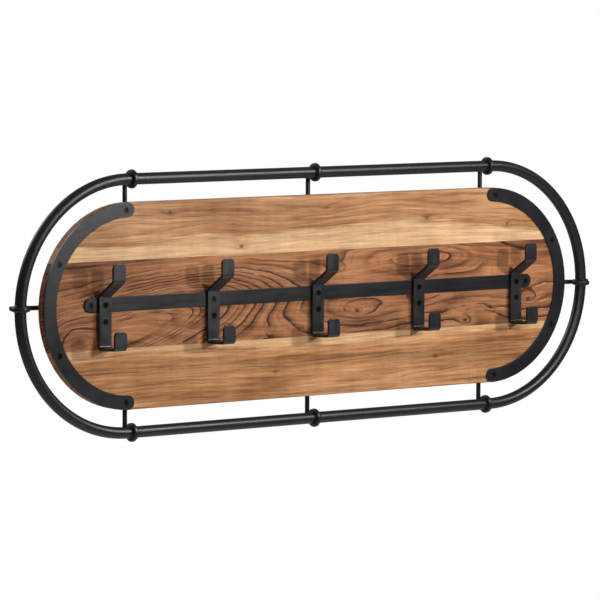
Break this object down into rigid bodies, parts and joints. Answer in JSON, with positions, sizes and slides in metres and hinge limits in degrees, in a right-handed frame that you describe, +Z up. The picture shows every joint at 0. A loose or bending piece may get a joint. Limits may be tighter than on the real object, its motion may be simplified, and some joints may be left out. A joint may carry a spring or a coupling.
{
  "type": "wall hook rack",
  "caption": "Wall rack: a planked hardwood board with round ends carries double hooks on a flat rail, held by short rods inside a ring of round black tube.",
  "frame": {"origin": "on the wall's surface, midway between the entry holes of the two hanging keyholes", "axes": "+X along the rack, to the right of someone facing it; +Y into the wall; +Z up"},
  "size_m": [1.01, 0.0671, 0.372],
  "materials": {
    "acacia_top": "oiled tan acacia with a cream sapwood streak",
    "acacia_middle": "oiled red-brown acacia heartwood with dark growth lines",
    "acacia_bottom": "oiled tan and brown acacia",
    "powder_coat": "black satin powder coat on hand-worked steel",
    "black_screw": "black oxide, slightly glossy",
    "zinc_plate": "bright zinc plate",
    "zinc_screw": "zinc plate"
  },
  "bodies": {
    "root": {"plank_top": "acacia_top", "plank_middle": "acacia_middle", "plank_bottom": "acacia_bottom", "end_plate_left": "powder_coat", "end_plate_right": "powder_coat", "hook_rail": "powder_coat", "hook_1": "powder_coat", "hook_2": "powder_coat", "hook_3": "powder_coat", "hook_4": "powder_coat", "hook_5": "powder_coat", "tube_top": "powder_coat", "tube_bottom": "powder_coat", "bend_left": "powder_coat", "bend_right": "powder_coat", "collar_top_left": "powder_coat", "collar_top_center": "powder_coat", "collar_top_right": "powder_coat", "collar_bottom_left": "powder_coat", "collar_bottom_center": "powder_coat", "collar_bottom_right": "powder_coat", "collar_left": "powder_coat", "collar_right": "powder_coat", "spoke_top_left": "powder_coat", "spoke_top_center": "powder_coat", "spoke_top_right": "powder_coat", "spoke_bottom_left": "powder_coat", "spoke_bottom_center": "powder_coat", "spoke_bottom_right": "powder_coat", "spoke_left": "powder_coat", "spoke_right": "powder_coat", "back_strap_left": "powder_coat", "back_strap_center": "powder_coat", "back_strap_right": "powder_coat", "back_lug_left": "powder_coat", "back_lug_right": "powder_coat", "hanger_left": "zinc_plate", "hanger_right": "zinc_plate", "plate_screws": "black_screw", "rail_screws": "black_screw", "hook_screws": "black_screw", "iron_screws": "zinc_screw", "hanger_screws": "zinc_screw"}
  },
  "joints": []
}
